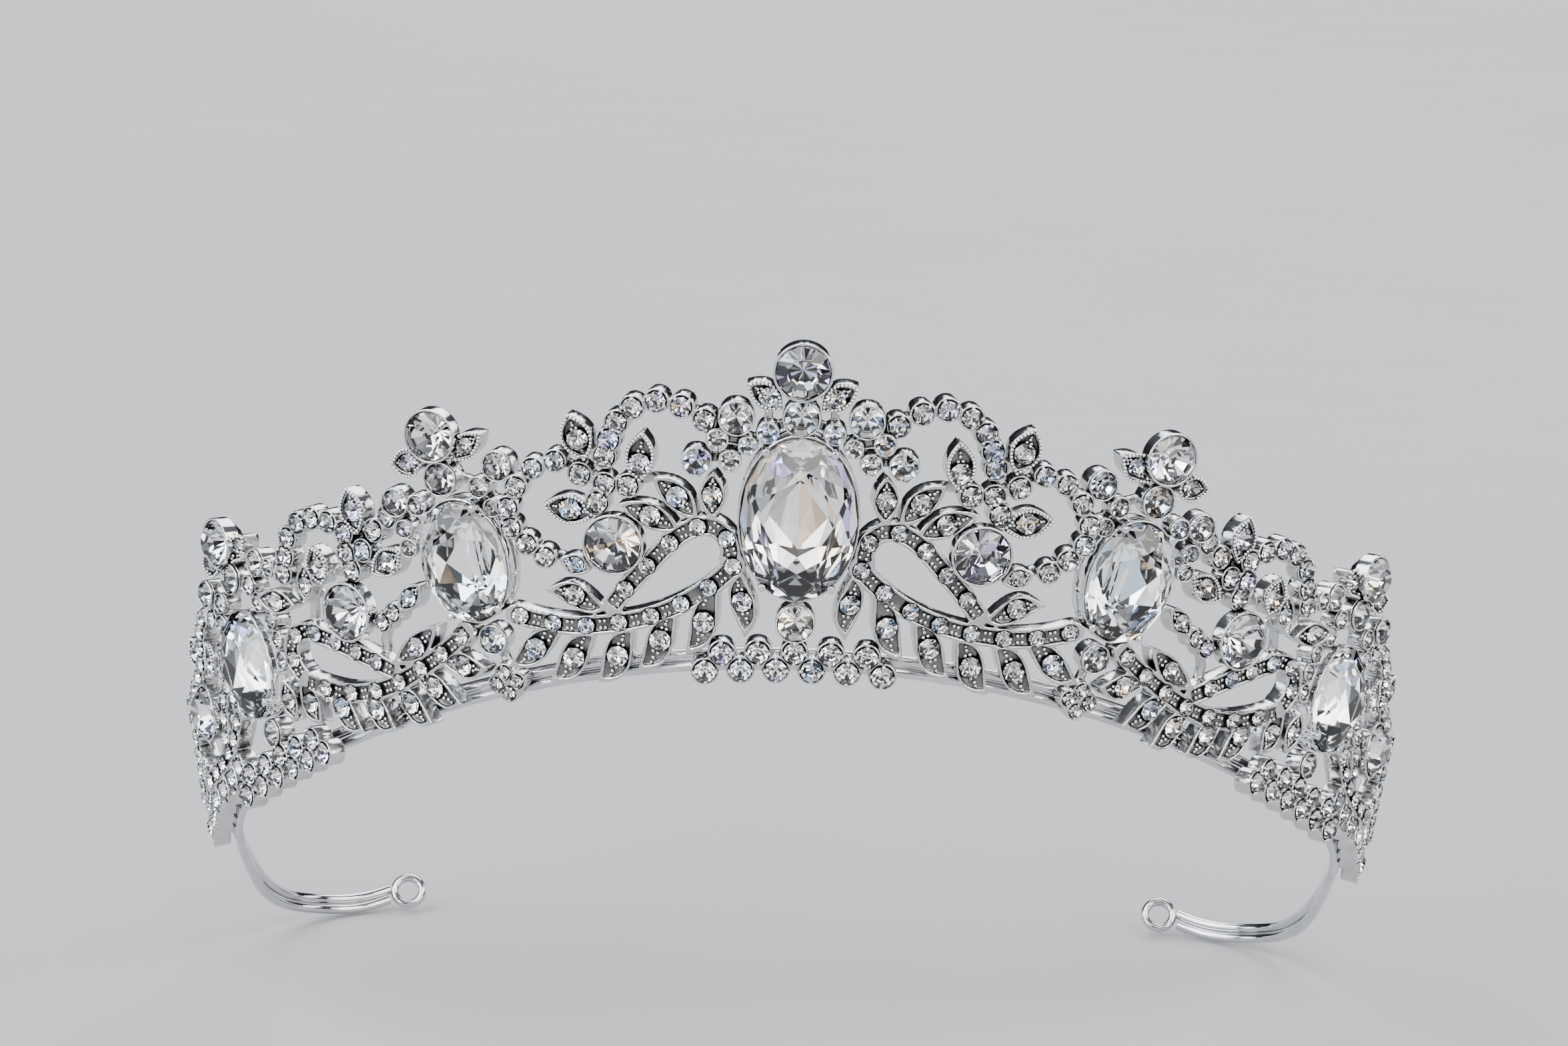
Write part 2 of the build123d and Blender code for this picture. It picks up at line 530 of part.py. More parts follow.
def end_tip():
    motif = Casting(96)
    motif.cups([(89.8, 13.4), (91.4, 11.9), (92.9, 10.3), (94.4, 8.7), (96.0, 7.3), (97.7, 6.1),
                (99.5, 5.0)], 1.9, "chain_stones")
    motif.leaf((92.0, 4.0), (92.2, 8.4), 2.5, stone_at=0.5, milgrain=True)
    motif.leaf((91.8, 2.8), (92.4, -1.0), 2.4, stone_at=0.5)
    motif.leaf((95.2, 2.8), (96.2, -1.0), 2.4, stone_at=0.5)
    motif.leaf((99.4, 3.6), (104.6, 0.6), 2.6, stone_at=0.5)
    motif.channel([(90.9, 3.4), (94.0, 3.3), (97.0, 3.5), (99.8, 4.0)], 4, first=0.16, last=0.78)
    motif.web((99.5, 5.0), (100.6, 3.2))
    motif.web((92.2, 8.0), (93.2, 10.0))
    return motif


# ---- pieces set on the castings -----------------------------------------------------------------


def on_facet(motif, s, v, solid):
    centre = motif.facet.flat(s, v)
    return motif.facet.put(Pos(centre.X, centre.Y) * solid)


# ---- band wires and end loops -------------------------------------------------------------------

# s and v of the middle between the two wires and their drop behind the castings,
# then points of the bare ends in the ring's frame
BAND_FRONT = 0.5
BAND = [(30, -0.3, 0), (52, -1.2, 0), (78, -0.5, 0.05), (101, 0.7, 0.1)]
BARE_END = [(63.3, 13.5, 0.9), (60.0, 26.4, 1.8), (55.0, 32.2, 3.4), (48.95, 34.4, 5.6)]
EYE_CENTRE = (46.6, 34.4, 6.1)


def band_wire(lift):
    """Round wire along arcs that run smoothly into each other, the same on both sides."""
    half = [shell(s, v + lift, WIRE_N - drop) for s, v, drop in BAND]
    half += [Vector(x, y, z + lift) for x, y, z in BARE_END]
    across = Vector(-half[0].X, half[0].Y, half[0].Z)
    front = ThreePointArc(across, shell(0, BAND_FRONT + lift, WIRE_N), half[0])
    arcs, heading = [], front % 1
    for start, end in zip(half, half[1:]):
        arcs.append(TangentArc(start, end, tangent=heading))
        heading = arcs[-1] % 1
    path = Wire([front] + arcs + [arc.mirror(Plane.YZ) for arc in arcs])
    return sweep(Plane(origin=path @ 0, z_dir=path % 0) * Circle(WIRE_RADIUS), path)


def end_loop():
    """Flat-faced eye at a wire's end; its hole runs front to back."""
    eye = Cylinder(EYE_RADIUS, EYE_THICKNESS) - Cylinder(EYE_HOLE, EYE_THICKNESS)
    return Pos(*EYE_CENTRE) * Rot(90, 0, 0) * eye


# ---- assembly -----------------------------------------------------------------------------------

WORN = Rot(-BAND_PITCH, 0, 0)
nodes = {}


def add(name, solids):
    nodes.setdefault(name, []).extend(solids)


def mirrored(solids):
    return [mirror(solid, about=Plane.YZ) for solid in solids]


def add_pair(name, solids):
    add(name + "_left", solids)
    add(name + "_right", mirrored(solids))


def add_both(name, solids):
    add(name, solids + mirrored(solids))


def oval_room(facet, s, v, width, height):
    centre = facet.flat(s, v)
    outline = Pos(centre.X, centre.Y) * Ellipse(width / 2 + OVAL_WALL, height / 2 + OVAL_WALL)
    return facet.put(slab(outline, BACK - ROOM_BEHIND, OVAL_GIRDLE + OVERSHOOT))


def add_stones(name, motif, across=True):
    shared = {"row_stones": "base_row_stones", "flower_stones": "band_flower_stones"}
    for kind, stones in motif.set_stones().items():
        group = name
        if kind == "leaf_stones" and name.endswith("_crest"):
            group = "crest"
        if kind == "round_stones" and not name.endswith("_crest"):
            group = "base"
        (add_both if across else add)(shared.get(kind, group + "_" + kind), stones)


motifs = {
    "centre_crest": centre_crest(),
    "centre_base": base_row(0, 2.0, 0.1, 5.3, 3.9),
    "inner_panel": inner_panel(),
    "middle_crest": middle_crest(),
    "band_flower": band_flower(),
    "outer_panel": outer_panel(),
    "side_crest": side_crest(),
    "side_base": base_row(67, -0.5, -2.4, 2.25, 2.8),
    "end_panel": end_panel(),
    "end_tip": end_tip(),
}
ON_THE_MIDDLE = ("centre_crest", "centre_base")
NEIGHBOURS = {
    "inner_panel": ("centre_crest", "centre_base", "middle_crest", "band_flower"),
    "outer_panel": ("middle_crest", "band_flower", "side_crest", "side_base"),
    "end_panel": ("side_crest", "side_base"),
    "end_tip": ("end_panel",),
}
rooms = {name: motif.room() for name, motif in motifs.items()}
oval_rooms = [oval_room(motifs[name + "_crest"].facet, *oval) for name, (oval, _) in CRESTS.items()]

for name, motif in motifs.items():
    body = motif.body()
    if name in NEIGHBOURS:
        body -= [rooms[other] for other in NEIGHBOURS[name]] + oval_rooms
        body = max(body.solids(), key=lambda solid: solid.volume)
    middle = name in ON_THE_MIDDLE
    (add if middle else add_pair)(name + "_casting", body.solids())
    if middle:
        add("milgrain_rims_centre", motif.rims())
    else:
        add_pair("milgrain_rims", motif.rims())
    add_stones(name.replace("end_tip", "end_panel"), motif, across=not middle)

for name, ((s, v, width, height), (top_s, top_v, top_size)) in CRESTS.items():
    motif = motifs[name + "_crest"]
    setting = [motif.notched(on_facet(motif, s, v, oval_setting(width, height)))]
    stone = [on_facet(motif, s, v, Pos(0, 0, OVAL_GIRDLE) * oval_stone(width, height))]
    cup = [motif.notched(on_facet(motif, top_s, top_v, round_cup(top_size, CUP_LOW, TOP_GIRDLE)))]
    top = [on_facet(motif, top_s, top_v, Pos(0, 0, TOP_GIRDLE) * round_stone(top_size))]
    if name == "centre":
        add("centre_oval_setting", setting)
        add("centre_oval_stone", stone)
        add("centre_top_cup", cup)
        add("centre_top_stone", top)
    else:
        add_pair(name + "_oval_setting", setting)
        add_both(name + "_oval_stones", stone)
        add_pair(name + "_top_cup", cup)
        add_both(name + "_top_stones", top)

for name, (s, v) in PANEL_ROUNDS.items():
    cup = on_facet(motifs[name], s, v, round_cup(PANEL_ROUND, CUP_LOW, PANEL_GIRDLE))
    stone = on_facet(motifs[name], s, v, Pos(0, 0, PANEL_GIRDLE) * round_stone(PANEL_ROUND))
    add_both("panel_round_cups", [cup])
    add_both("panel_round_stones", [stone])

add_pair("end_loop", [end_loop()])
for name, lift in (("upper", WIRE_PITCH / 2), ("lower", -WIRE_PITCH / 2)):
    add(name + "_band_wire", band_wire(lift).solids())

os.makedirs("parts", exist_ok=True)
for name, solids in nodes.items():
    placed = [WORN * solid for solid in solids]
    export_step(Compound(children=placed) if len(placed) > 1 else placed[0], f"parts/{name}.step")
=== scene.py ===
from math import cos, pi, radians, sin

import bmesh
import bpy
import numpy as np
from mathutils import Matrix, Vector


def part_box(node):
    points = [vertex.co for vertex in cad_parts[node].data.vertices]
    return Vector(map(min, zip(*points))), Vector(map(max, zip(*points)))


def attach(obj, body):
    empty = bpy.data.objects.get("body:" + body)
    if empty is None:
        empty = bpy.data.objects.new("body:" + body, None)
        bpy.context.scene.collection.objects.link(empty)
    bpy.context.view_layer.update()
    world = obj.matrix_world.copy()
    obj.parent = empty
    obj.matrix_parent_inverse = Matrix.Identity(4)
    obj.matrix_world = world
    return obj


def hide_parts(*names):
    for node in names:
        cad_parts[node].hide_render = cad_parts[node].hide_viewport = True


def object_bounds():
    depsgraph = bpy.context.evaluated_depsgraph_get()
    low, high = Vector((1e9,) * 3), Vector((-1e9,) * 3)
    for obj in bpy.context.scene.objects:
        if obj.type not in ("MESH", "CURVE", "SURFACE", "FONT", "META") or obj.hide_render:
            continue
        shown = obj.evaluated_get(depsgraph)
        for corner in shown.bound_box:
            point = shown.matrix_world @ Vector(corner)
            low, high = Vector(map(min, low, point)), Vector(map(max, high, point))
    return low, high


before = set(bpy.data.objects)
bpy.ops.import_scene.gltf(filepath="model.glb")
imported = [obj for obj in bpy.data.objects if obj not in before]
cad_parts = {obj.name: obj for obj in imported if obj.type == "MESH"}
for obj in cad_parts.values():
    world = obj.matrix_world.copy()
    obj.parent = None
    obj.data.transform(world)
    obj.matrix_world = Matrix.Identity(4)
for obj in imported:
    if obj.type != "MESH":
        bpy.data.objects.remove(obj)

CAD_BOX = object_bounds()
MM = 0.001

# ---- the object's own frame ---------------------------------------------------------------------
BAND_PITCH = radians(35)        # the band's plane is tilted front up
RING_AXIS = np.array([0.0, sin(BAND_PITCH), cos(BAND_PITCH)])
POCKET = 0.35 * MM              # depth of the sunk floor of a leaf or channel
CROWN_AND_GIRDLE = 0.23         # table's height above the girdle's foot, as a share of the width
FACING = 0.999                  # cosine at which a face counts as square to an axis
WELD = 1e-7                     # points closer than this are one point
NOT_ZERO = 1e-20                # least length that is divided by
ROUND = 1.02                    # a stone less oval than this counts as round

ROUND_NODES = ["centre_crest_round_stones", "middle_crest_round_stones", "side_crest_round_stones",
               "base_round_stones", "panel_round_stones", "centre_top_stone", "middle_top_stones",
               "side_top_stones"]
LIPPED_NODES = ROUND_NODES[:4]
LEAF_NODES = ["crest_leaf_stones", "inner_panel_leaf_stones", "outer_panel_leaf_stones",
              "end_panel_leaf_stones"]
CHANNEL_NODES = ["inner_panel_channel_stones", "outer_panel_channel_stones", "end_panel_channel_stones"]
CHAIN_NODES = ["inner_panel_chain_stones", "outer_panel_chain_stones", "end_panel_chain_stones"]
CLAW_NODES = ["base_row_stones", "band_flower_stones"]
OVAL_NODES = ["centre_oval_stone", "middle_oval_stones", "side_oval_stones"]
MIDDLE_CASTINGS = ["centre_crest_casting", "centre_base_casting"]
PAIRED_CASTINGS = ["inner_panel", "middle_crest", "band_flower", "outer_panel", "side_crest",
                   "side_base", "end_panel", "end_tip"]


# ---- reading the CAD meshes ---------------------------------------------------------------------
def welded(node):
    """Points and triangles of a CAD node, with points at one place made one."""
    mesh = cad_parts[node].data
    co = np.empty(len(mesh.vertices) * 3)
    mesh.vertices.foreach_get("co", co)
    mesh.calc_loop_triangles()
    tris = np.empty(len(mesh.loop_triangles) * 3, int)
    mesh.loop_triangles.foreach_get("vertices", tris)
    grid = np.round(co.reshape(-1, 3) / WELD).astype(np.int64)
    _, first, index = np.unique(grid, axis=0, return_index=True, return_inverse=True)
    tris = index.reshape(-1)[tris].reshape(-1, 3)
    kept = (tris[:, 0] != tris[:, 1]) & (tris[:, 1] != tris[:, 2]) & (tris[:, 2] != tris[:, 0])
    return co.reshape(-1, 3)[first], tris[kept]


def islands(tris, count):
    """Groups of triangles that share points."""
    label = np.arange(count)
    while True:
        low = label[tris].min(axis=1)
        new = label.copy()
        for corner in range(3):
            np.minimum.at(new, tris[:, corner], low)
        if (new == label).all():
            break
        label = new
    owner = label[tris[:, 0]]
    return [tris[owner == one] for one in np.unique(owner)]


def facing(points, tris):
    """Unit normal and area of each triangle."""
    a, b, c = (points[tris[:, i]] for i in range(3))
    cross = np.cross(b - a, c - a)
    length = np.linalg.norm(cross, axis=1)
    return cross / np.maximum(length, NOT_ZERO)[:, None], length / 2


def main_plane(normals, areas):
    """Direction that the most flat area faces."""
    keys, index = np.unique(np.round(normals, 2), axis=0, return_inverse=True)
    total = np.bincount(index.reshape(-1), weights=areas, minlength=len(keys))
    chosen = index.reshape(-1) == total.argmax()
    mean = (normals[chosen] * areas[chosen, None]).sum(axis=0)
    return mean / np.linalg.norm(mean), chosen


def unit(vector):
    return vector / np.linalg.norm(vector)


def outward(place):
    return unit(place - RING_AXIS * (place @ RING_AXIS))


def front_of(points, tris):
    """Outward axis of a flat casting, and the height of its front along that axis."""
    normals, areas = facing(points, tris)
    axis, _ = main_plane(normals, areas)
    if axis @ outward(points.mean(axis=0)) < 0:
        axis = -axis
    level = points[tris].mean(axis=1) @ axis
    return axis, level[normals @ axis > FACING].max()


class Stone:
    """Place of one cut stone: girdle centre, outward axis, and the two half sizes with their directions."""

    def __init__(self, points, tris):
        normals, areas = facing(points, tris)
        self.axis, chosen = main_plane(normals, areas)
        used = np.unique(tris)
        table = points[np.unique(tris[chosen])]
        height = (table @ self.axis).mean()
        flat = points[used] - np.outer(points[used] @ self.axis, self.axis)
        _, vectors = np.linalg.eigh(np.cov(flat.T))
        self.long, self.short = vectors[:, 2], np.cross(self.axis, vectors[:, 2])
        ends = [flat @ self.long, flat @ self.short]
        self.half_long, self.half_short = ((e.max() - e.min()) / 2 for e in ends)
        centre = self.long * (ends[0].max() + ends[0].min()) / 2
        centre = centre + self.short * (ends[1].max() + ends[1].min()) / 2
        foot = height - CROWN_AND_GIRDLE * 2 * self.half_short
        self.centre = centre + self.axis * foot
        if self.half_long < ROUND * self.half_short:
            self.half_long = self.half_short = (self.half_long + self.half_short) / 2
            self.long = unit(RING_AXIS - self.axis * (RING_AXIS @ self.axis))
            self.short = np.cross(self.axis, self.long)

    def at(self, along_short, along_long, height):
        return self.centre + self.short * along_short + self.long * along_long + self.axis * height


def stones_of(node):
    points, tris = welded(node)
    return [Stone(points, part) for part in islands(tris, len(points))]


STONES = {node: stones_of(node) for node in
          ROUND_NODES + LEAF_NODES + CHANNEL_NODES + CHAIN_NODES + CLAW_NODES + OVAL_NODES}


# ---- materials ----------------------------------------------------------------------------------
def new_material(name):
    material = bpy.data.materials.new(name)
    material.use_nodes = True
    nodes, links = material.node_tree.nodes, material.node_tree.links
    return material, nodes, links, nodes["Principled BSDF"]


def noise(nodes, links, scale, detail=3.0, stretch=None):
    where = nodes.new("ShaderNodeTexCoord")
    texture = nodes.new("ShaderNodeTexNoise")
    texture.inputs["Scale"].default_value = scale
    texture.inputs["Detail"].default_value = detail
    source = where.outputs["Object"]
    if stretch:
        mapping = nodes.new("ShaderNodeMapping")
        mapping.inputs["Scale"].default_value = stretch
        links.new(source, mapping.inputs["Vector"])
        source = mapping.outputs["Vector"]
    links.new(source, texture.inputs["Vector"])
    return texture.outputs["Fac"]


def ramp(nodes, links, source, stops):
    node = nodes.new("ShaderNodeValToRGB")
    elements = node.color_ramp.elements
    while len(elements) < len(stops):
        elements.new(0.5)
    for element, (place, colour) in zip(elements, stops):
        element.position = place
        element.color = (*colour, 1.0)
    links.new(source, node.inputs["Fac"])
    return node.outputs["Color"]


def spread(nodes, links, source, low, high, start=0.3, end=0.7):
    node = nodes.new("ShaderNodeMapRange")
    for name, value in (("From Min", start), ("From Max", end), ("To Min", low), ("To Max", high)):
        node.inputs[name].default_value = value
    links.new(source, node.inputs["Value"])
    return node.outputs["Result"]


def product(nodes, links, a, b):
    node = nodes.new("ShaderNodeMix")
    node.data_type, node.blend_type = "RGBA", "MULTIPLY"
    node.inputs["Factor"].default_value = 1.0
    links.new(a, node.inputs[6])
    links.new(b, node.inputs[7])
    return node.outputs[2]


def bump(nodes, links, shader, source, strength, depth):
    node = nodes.new("ShaderNodeBump")
    node.inputs["Strength"].default_value = strength
    node.inputs["Distance"].default_value = depth
    links.new(source, node.inputs["Height"])
    links.new(node.outputs["Normal"], shader.inputs["Normal"])


# colour of the painted shade laid into crevices and where parts meet
CREVICE_SHADE = (0.09, 0.088, 0.085)
TONE_SCALE, POLISH_SCALE = 420.0, 900.0     # noise scales, per metre
PIT_DEPTH, DRAWN_DEPTH = 0.00006, 0.00003   # in metres


def plated_metal(name, light, dark, rough, crevice, pits, pit_scale):
    """Plated cast metal: small tone changes, painted shade in the crevices, and a fine uneven polish.

    light, dark: the two tones. rough: least and most roughness. crevice: reach of the painted shade, in
    metres.
    pits, pit_scale: strength and noise scale of the casting's grain.
    """
    material, nodes, links, shader = new_material(name)
    shader.inputs["Metallic"].default_value = 1.0
    tone = ramp(nodes, links, noise(nodes, links, TONE_SCALE), [(0.3, dark), (0.7, light)])
    shade = nodes.new("ShaderNodeAmbientOcclusion")
    shade.inputs["Distance"].default_value = crevice
    shade.samples = 6
    # painted shade: the metal darkens where ambient occlusion finds other surfaces close by
    painted_shade = ramp(nodes, links, shade.outputs["AO"], [(0.28, CREVICE_SHADE), (0.80, (1.0, 1.0, 1.0))])
    links.new(product(nodes, links, tone, painted_shade), shader.inputs["Base Color"])
    links.new(spread(nodes, links, noise(nodes, links, POLISH_SCALE), *rough), shader.inputs["Roughness"])
    bump(nodes, links, shader, noise(nodes, links, pit_scale, detail=4.0), pits, PIT_DEPTH)
    return material


CAST = plated_metal("rhodium_cast", light=(0.64, 0.64, 0.64), dark=(0.50, 0.50, 0.50), rough=(0.08, 0.18),
                    crevice=0.0011, pits=0.5, pit_scale=1500.0)
# metal of the sunk floors: its darker tones are painted shade in the hollows, while its rougher, more pitted
# finish is its own
HOLLOW_SHADE = plated_metal("rhodium_with_painted_hollow_shade", light=(0.26, 0.255, 0.25), dark=(0.10, 0.10, 0.10),
                      rough=(0.18, 0.36), crevice=0.0010, pits=0.9, pit_scale=4200.0)
POLISHED = plated_metal("rhodium_polished", light=(0.76, 0.76, 0.765), dark=(0.64, 0.64, 0.645),
                        rough=(0.05, 0.13), crevice=0.0008, pits=0.12, pit_scale=900.0)
GRAIN = plated_metal("rhodium_grains", light=(0.86, 0.86, 0.87), dark=(0.74, 0.74, 0.745),
                     rough=(0.05, 0.12), crevice=0.0005, pits=0.10, pit_scale=900.0)


def wire_metal():
    """Bright drawn wire. Its fine marks run from side to side, which is along the wire at the front."""
    material, nodes, links, shader = new_material("bright_steel_wire")
    shader.inputs["Metallic"].default_value = 1.0
    drawn = noise(nodes, links, 2600.0, detail=2.0, stretch=(0.06, 1.0, 1.0))
    tone = ramp(nodes, links, noise(nodes, links, 260.0),
                [(0.3, (0.56, 0.56, 0.57)), (0.7, (0.70, 0.70, 0.71))])
    links.new(tone, shader.inputs["Base Color"])
    links.new(spread(nodes, links, drawn, 0.06, 0.16), shader.inputs["Roughness"])
    bump(nodes, links, shader, drawn, 0.15, DRAWN_DEPTH)
    return material


WIRE = wire_metal()


def crystal_glass():
    """Clear crown of a stone, with a slight haze in places."""
    material, nodes, links, shader = new_material("clear_crystal")
    shader.inputs["Transmission Weight"].default_value = 1.0
    shader.inputs["IOR"].default_value = 1.56
    shader.inputs["Base Color"].default_value = (0.985, 0.99, 1.0, 1.0)
    haze = spread(nodes, links, noise(nodes, links, 300.0), 0.0, 0.03, start=0.45, end=0.8)
    links.new(haze, shader.inputs["Roughness"])
    return material


def foil_metal():
    """Silvered back of a stone. Each facet's painted reflection is stored on the mesh as its colour: white,
    grey and dark facets and a few coloured glints.
    """
    material, nodes, links, shader = new_material("silvered_back")
    shader.inputs["Metallic"].default_value = 1.0
    shader.inputs["Roughness"].default_value = 0.035
    painted_reflection = nodes.new("ShaderNodeAttribute")
    painted_reflection.attribute_name = "painted_reflection"
    links.new(painted_reflection.outputs["Color"], shader.inputs["Base Color"])
    return material


CRYSTAL, FOIL = crystal_glass(), foil_metal()


# ---- making pieces ------------------------------------------------------------------------------
def finished(name, mesh, replaced=()):
    piece = bpy.data.objects.new(name, mesh)
    bpy.context.scene.collection.objects.link(piece)
    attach(piece, "root")
    if replaced:
        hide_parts(*replaced)
    return piece


def mesh_from(name, points, faces, materials, indices=None, smooth=False):
    mesh = bpy.data.meshes.new(name)
    mesh.from_pydata([tuple(p) for p in points], [], faces)
    for material in materials:
        mesh.materials.append(material)
    if indices is not None:
        mesh.polygons.foreach_set("material_index", indices)
    mesh.polygons.foreach_set("use_smooth", [smooth] * len(faces))
    mesh.update()
    return mesh


def face_outward(mesh):
    """Turns every face of closed shells outwards."""
    shells = bmesh.new()
    shells.from_mesh(mesh)
    bmesh.ops.recalc_face_normals(shells, faces=shells.faces)
    shells.to_mesh(mesh)
    shells.free()


# ---- cut stones ---------------------------------------------------------------------------------
GEM_TABLE = 0.58                                    # radius of the table, as a share of the half width
GEM_CROWN, GEM_GIRDLE, GEM_DEPTH = 0.17, 0.06, 0.4  # heights, as shares of the width
OVAL_DEPTH, OVAL_KEEL = 0.32, 0.42                  # an oval's depth per width, half keel per half length
OVAL_LOW, OVAL_DEEP = (0.80, -0.27), (0.50, -0.47)  # radius and height of an oval's pavilion rings
CROWN_BREAK = 1.03                                  # how far an oval's middle crown ring stands out, a factor


def chaton(folds):
    """Round cut, half width 1: a table, one ring of crown facets and one of silvered wedges."""
    points, clear, silvered = [], [], []
    for radius, z in ((GEM_TABLE, 2 * (GEM_GIRDLE + GEM_CROWN)), (1.0, 2 * GEM_GIRDLE), (1.0, 0.0)):
        points += [(radius * cos(2 * pi * k / folds), radius * sin(2 * pi * k / folds), z)
                   for k in range(folds)]
    points.append((0.0, 0.0, -2 * GEM_DEPTH))
    clear.append(list(range(folds)))
    for k in range(folds):
        n = (k + 1) % folds
        clear += [[k, folds + k, folds + n, n], [folds + k, 2 * folds + k, 2 * folds + n, folds + n]]
        silvered.append([2 * folds + k, 3 * folds, 2 * folds + n])
    return np.array(points), clear, silvered


def oval_cut(folds):
    """Oval cut, half width 1: two rings of crown facets, three of pavilion facets and a keel along y."""
    c = cos(pi / folds)
    table_z = 2 * (GEM_GIRDLE + GEM_CROWN)
    mid = (GEM_TABLE + 1) / 2 * CROWN_BREAK
    mid_z = table_z + (mid * c - GEM_TABLE) / (1 - GEM_TABLE) * (2 * GEM_GIRDLE - table_z)
    points, rings = [], {}
    for name, count, radius, z, offset in (
            ("table", folds, GEM_TABLE, table_z, 0), ("mid", folds, mid, mid_z, 1),
            ("top", 2 * folds, 1.0, 2 * GEM_GIRDLE, 0), ("foot", 2 * folds, 1.0, 0.0, 0),
            ("low", folds, *OVAL_LOW, 1), ("deep", folds, *OVAL_DEEP, 0)):
        rings[name] = range(len(points), len(points) + count)
        for k in range(count):
            turn = (k * 2 + offset) * pi / count
            points.append((radius * cos(turn), radius * sin(turn), z))
    upper, lower = len(points), len(points) + 1
    points += [(0.0, OVAL_KEEL, -2 * OVAL_DEPTH), (0.0, -OVAL_KEEL, -2 * OVAL_DEPTH)]
    t, m, g, f, p, d = (rings[name] for name in ("table", "mid", "top", "foot", "low", "deep"))
    clear = [list(t)]
    silvered = [[d[0], upper, lower], [d[folds // 2], lower, upper]]
    for k in range(folds):
        n, before = (k + 1) % folds, k - 1
        e, o, x = 2 * k, 2 * k + 1, (2 * k + 2) % (2 * folds)
        clear += [[t[k], m[k], t[n]], [t[k], m[before], g[e], m[k]], [m[k], g[e], g[o]], [m[k], g[o], g[x]]]
        clear += [[g[e], f[e], f[o], g[o]], [g[o], f[o], f[x], g[x]]]
        silvered += [[p[k], f[o], f[e]], [p[k], f[x], f[o]]]
        silvered += [[f[e], p[k], p[before]], [p[k], d[k], p[before]]]
        end = upper if k < folds // 2 else lower
        silvered += [[p[k], d[n], d[k]], [d[n], end, d[k]]]
    return np.array(points), clear, silvered


# painted reflections for the silvered backs: white, grey and dark facets stand in for the lamps and dark
# surroundings a stone mirrors, and the coloured glints for its fire
BRIGHT, MID, GREY, DARK = (1.0, 1.0, 1.0), (0.74, 0.73, 0.72), (0.50, 0.50, 0.50), (0.26, 0.26, 0.27)
GLINTS = [(0.50, 0.66, 1.0), (0.66, 0.56, 1.0), (1.0, 0.80, 0.58), (0.70, 0.86, 1.0)]
GLINT_SHARE = 0.08
STAR = [BRIGHT, DARK, BRIGHT, MID]
OVAL_MIX = [BRIGHT, BRIGHT, MID, BRIGHT, GREY]
KEEL_FACETS = 2                 # the first silvered facets of an oval, beside its keel
FIRST_SEED = 11
CUTS = {"small": chaton(8), "round": chaton(12), "oval": oval_cut(8)}


def painted_facet_reflection(rng, cut, index):
    """Painted reflection of one silvered facet: a star of light and dark wedges, or a mixture for an oval,
    and now and then a coloured glint.
    """
    if rng.random() < GLINT_SHARE:
        return GLINTS[rng.integers(len(GLINTS))]
    if cut != "oval":
        return STAR[index % len(STAR)]
    if index < KEEL_FACETS:
        return BRIGHT
    return OVAL_MIX[rng.integers(len(OVAL_MIX))]


def gems(name, places, replaced, cut, seed):
    """All the stones of one CAD node as one mesh of separate cut stones."""
    rng = np.random.default_rng(seed)
    shape, clear, silvered = CUTS[cut]
    points, faces, indices, painted_reflections = [], [], [], []
    for stone in places:
        start = len(points)
        turn = 0.0 if cut == "oval" else rng.uniform(0, 2 * pi)
        x = shape[:, 0] * cos(turn) - shape[:, 1] * sin(turn)
        y = shape[:, 0] * sin(turn) + shape[:, 1] * cos(turn)
        for along_short, along_long, height in zip(x, y, shape[:, 2]):
            points.append(stone.at(along_short * stone.half_short, along_long * stone.half_long,
                                   height * stone.half_short))
        for index, group in enumerate((clear, silvered)):
            for i, face in enumerate(group):
                faces.append([start + corner for corner in face])
                indices.append(index)
                painted_reflections.append(painted_facet_reflection(rng, cut, i) if index else BRIGHT)
    mesh = mesh_from(name, points, faces, [CRYSTAL, FOIL], indices)
    face_outward(mesh)
    # each silvered facet's painted reflection, stored as a colour on the mesh
    layer = mesh.color_attributes.new("painted_reflection", "FLOAT_COLOR", "CORNER")
    colours = np.ones((len(mesh.loops), 4), np.float32)
    for polygon, painted_reflection in zip(mesh.polygons, painted_reflections):
        colours[polygon.loop_start:polygon.loop_start + polygon.loop_total, :3] = painted_reflection
    layer.data.foreach_set("color", colours.ravel())
    return finished(name, mesh, replaced)


for number, (node, places) in enumerate(STONES.items()):
    large = node in OVAL_NODES or "top" in node or node.startswith("panel")
    cut = "oval" if node in OVAL_NODES else "round" if large else "small"
    gems(node.replace("stones", "gems").replace("stone", "gem"), places,
         [node], cut, FIRST_SEED + number)


# ---- small cast details -------------------------------------------------------------------------
def ball(subdivisions):
    shape = bmesh.new()
    bmesh.ops.create_icosphere(shape, subdivisions=subdivisions, radius=1.0)
    points = np.array([v.co for v in shape.verts])
    faces = [[v.index for v in f.verts] for f in shape.faces]
    shape.free()
    return points, faces


BALL = ball(2)
GRAIN_RISE = 0.08               # height of a grain's middle over its floor, in mm
# distance away from the stone, distance aside and radius; in mm, but for a leaf's first, a share of its reach
CHANNEL_GRAINS = [(step, aside, 0.22) for aside in (-0.36, 0.36) for step in (-0.26, 0.26)]
LEAF_GRAINS = [(-0.30, 0.26, 0.22), (-0.30, -0.26, 0.22), (0.15, 0.0, 0.22), (0.50, 0.0, 0.17)]
FLOOR_SLACK, EDGE_SLACK = 0.03 * MM, 0.01 * MM
SMALLEST_FLOOR = 0.06 * MM * MM
ROUND_A_STONE = 0.8 * MM        # a floor whose middle is this close to a stone runs round it
LIP_RISE = 1.3                  # a lip's height, as a share of its width
BEAD, BEAD_GAP = 0.20 * MM, 0.385 * MM          # a milgrain bead's radius, and least spacing
BEAD_START, BEAD_STEP = 0.1 * MM, 0.06 * MM     # first place tried along an edge, and the steps after it
NUDGE = 0.01                    # keeps a grain's side direction defined whichever way it faces


